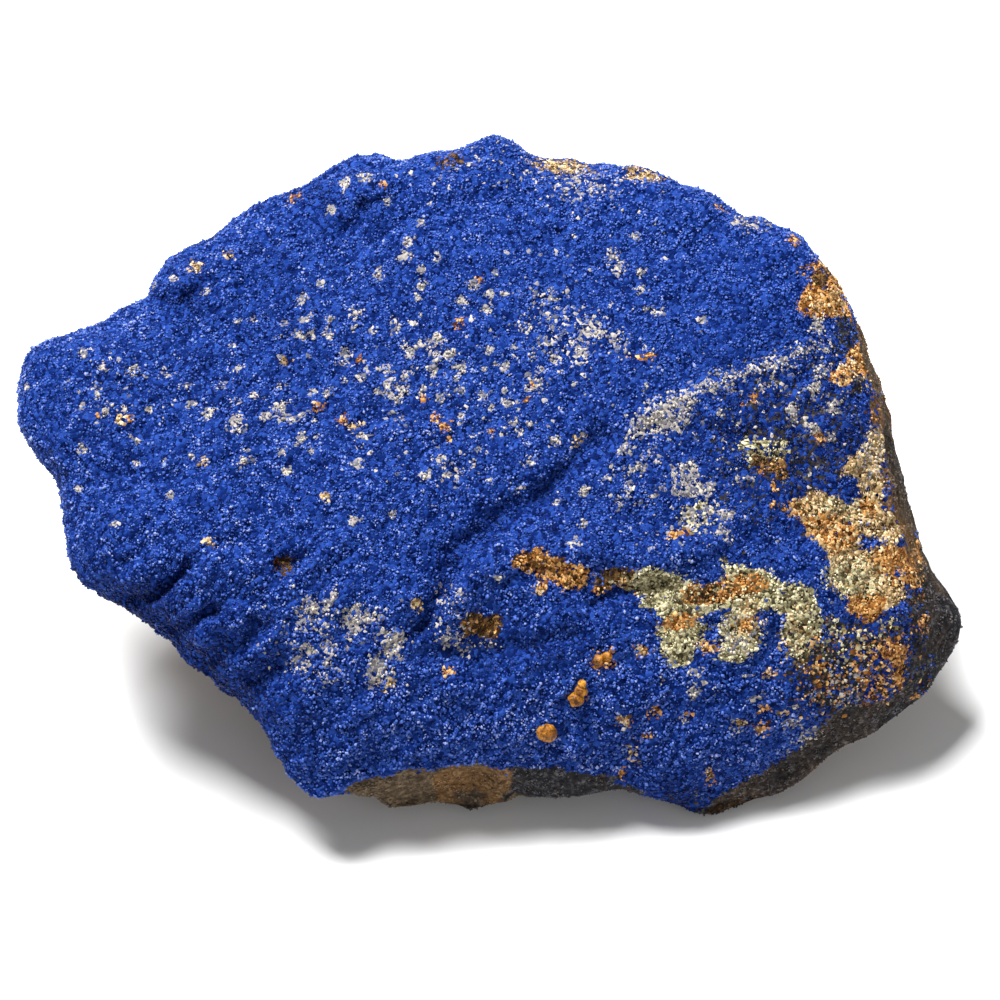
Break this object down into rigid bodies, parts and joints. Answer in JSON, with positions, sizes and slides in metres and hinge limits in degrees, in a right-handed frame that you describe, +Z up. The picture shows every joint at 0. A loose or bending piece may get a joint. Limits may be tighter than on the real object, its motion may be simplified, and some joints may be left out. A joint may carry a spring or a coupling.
{
  "type": "azurite specimen",
  "caption": "Wedge of sandstone with a thick blue azurite crust, pale and rusty patches, small nodules, a ledge across its face and a broken underside that it rests on.",
  "frame": {"origin": "on the ground under the middle of the stone's box", "axes": "+Z up, +X towards the right-hand tip, -Y the side that the blue face leans to"},
  "size_m": [0.0728, 0.0452, 0.0338],
  "materials": {
    "azurite_crust": "fine crystalline crust, matt with a faint sparkle, on rough sandstone"
  },
  "bodies": {
    "root": {"azurite_stone": "azurite_crust"}
  },
  "joints": []
}
